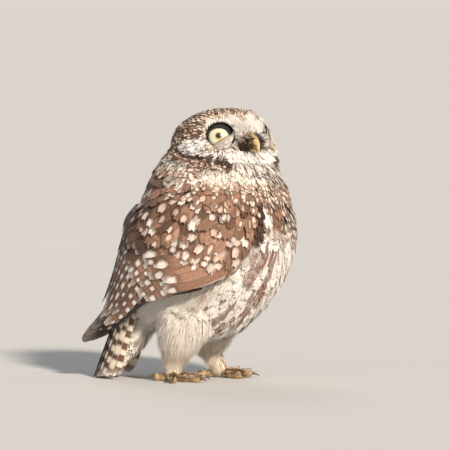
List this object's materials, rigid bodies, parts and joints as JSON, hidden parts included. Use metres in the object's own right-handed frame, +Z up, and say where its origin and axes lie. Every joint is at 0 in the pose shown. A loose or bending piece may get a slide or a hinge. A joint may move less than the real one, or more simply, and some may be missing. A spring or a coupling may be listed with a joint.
{
  "type": "little owl",
  "caption": "Life-size little owl standing at rest, its head turned to its right and tipped slightly up, wings folded and tail resting on the floor.",
  "frame": {"origin": "middle of the base of the owl's bounding box, on the floor it stands on", "axes": "+Z is up, -Y is the way the owl's body faces and +X is the owl's own left"},
  "size_m": [0.097, 0.1374, 0.1692],
  "materials": {
    "plumage": "matt feathers, brown with white spots above, white with brown streaks below",
    "bill": "smooth horn, dull yellow",
    "eye": "wet and glossy, yellow iris with a black pupil",
    "eyelid": "bare black skin",
    "toe_skin": "dull yellow-brown scaled skin with pale bristles",
    "claw": "dark polished horn"
  },
  "bodies": {
    "root": {"head": "plumage", "bill_upper": "bill", "bill_lower": "bill", "eye_left": "eye", "eyelids_left": "eyelid", "eye_right": "eye", "eyelids_right": "eyelid", "neck": "plumage", "torso": "plumage", "wing_left": "plumage", "wing_right": "plumage", "tail": "plumage", "thigh_left": "plumage", "shank_left": "plumage", "middle_toe_left": "toe_skin", "middle_toe_claw_left": "claw", "inner_toe_left": "toe_skin", "inner_toe_claw_left": "claw", "outer_toe_left": "toe_skin", "outer_toe_claw_left": "claw", "hallux_left": "toe_skin", "hallux_claw_left": "claw", "thigh_right": "plumage", "shank_right": "plumage", "middle_toe_right": "toe_skin", "middle_toe_claw_right": "claw", "inner_toe_right": "toe_skin", "inner_toe_claw_right": "claw", "outer_toe_right": "toe_skin", "outer_toe_claw_right": "claw", "hallux_right": "toe_skin", "hallux_claw_right": "claw"}
  },
  "joints": []
}
